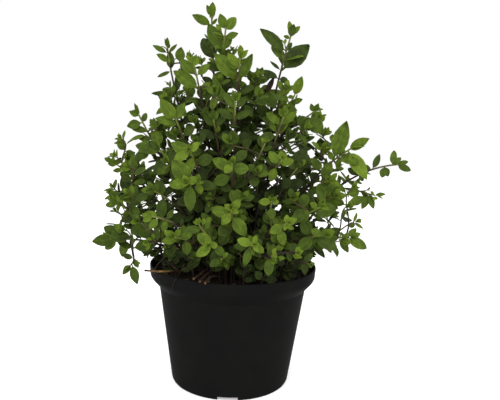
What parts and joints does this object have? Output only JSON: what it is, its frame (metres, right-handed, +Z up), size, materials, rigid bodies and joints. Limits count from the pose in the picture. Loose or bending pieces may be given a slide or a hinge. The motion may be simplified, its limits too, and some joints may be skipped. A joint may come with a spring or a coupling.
{
  "type": "potted oregano plant",
  "caption": "Bushy oregano plant with small ovate leaves in opposite pairs, growing from soil in a round black plastic nursery pot.",
  "frame": {"origin": "centre of the pot's underside, at the ground", "axes": "+Z up along the pot's axis, -Y towards the front of the plant, +X to the right as seen from the front"},
  "size_m": [0.2174, 0.1837, 0.2746],
  "materials": {
    "pot_plastic": "matt black moulded polypropylene",
    "potting_soil": "dark peat with bits of bark",
    "oregano_leaf": "soft green leaf, matt",
    "dry_wood": "dry brown stalk"
  },
  "bodies": {
    "root": {"cut_stub_1": "dry_wood", "cut_stub_2": "dry_wood", "cut_stub_3": "dry_wood", "dry_twig": "dry_wood", "leafy_stem_01": "oregano_leaf", "leafy_stem_02": "oregano_leaf", "leafy_stem_03": "oregano_leaf", "leafy_stem_04": "oregano_leaf", "leafy_stem_05": "oregano_leaf", "leafy_stem_06": "oregano_leaf", "leafy_stem_07": "oregano_leaf", "leafy_stem_08": "oregano_leaf", "leafy_stem_09": "oregano_leaf", "leafy_stem_10": "oregano_leaf", "leafy_stem_11": "oregano_leaf", "leafy_stem_12": "oregano_leaf", "leafy_stem_13": "oregano_leaf", "leafy_stem_14": "oregano_leaf", "leafy_stem_15": "oregano_leaf", "leafy_stem_16": "oregano_leaf", "leafy_stem_17": "oregano_leaf", "leafy_stem_18": "oregano_leaf", "leafy_stem_19": "oregano_leaf", "leafy_stem_20": "oregano_leaf", "leafy_stem_21": "oregano_leaf", "leafy_stem_22": "oregano_leaf", "leafy_stem_23": "oregano_leaf", "leafy_stem_24": "oregano_leaf", "leafy_stem_25": "oregano_leaf", "leafy_stem_26": "oregano_leaf", "leafy_stem_27": "oregano_leaf", "leafy_stem_28": "oregano_leaf", "leafy_stem_29": "oregano_leaf", "leafy_stem_30": "oregano_leaf", "leafy_stem_31": "oregano_leaf", "leafy_stem_32": "oregano_leaf", "leafy_stem_33": "oregano_leaf", "leafy_stem_34": "oregano_leaf", "leafy_stem_35": "oregano_leaf", "leafy_stem_36": "oregano_leaf", "leafy_stem_37": "oregano_leaf", "leafy_stem_38": "oregano_leaf", "leafy_stem_39": "oregano_leaf", "leafy_stem_40": "oregano_leaf", "leafy_stem_41": "oregano_leaf", "leafy_stem_42": "oregano_leaf", "leafy_stem_43": "oregano_leaf", "leafy_stem_44": "oregano_leaf", "leafy_stem_45": "oregano_leaf", "leafy_stem_46": "oregano_leaf", "leafy_stem_47": "oregano_leaf", "leafy_stem_48": "oregano_leaf", "leafy_stem_49": "oregano_leaf", "leafy_stem_50": "oregano_leaf", "pot": "pot_plastic", "soil": "potting_soil"}
  },
  "joints": []
}
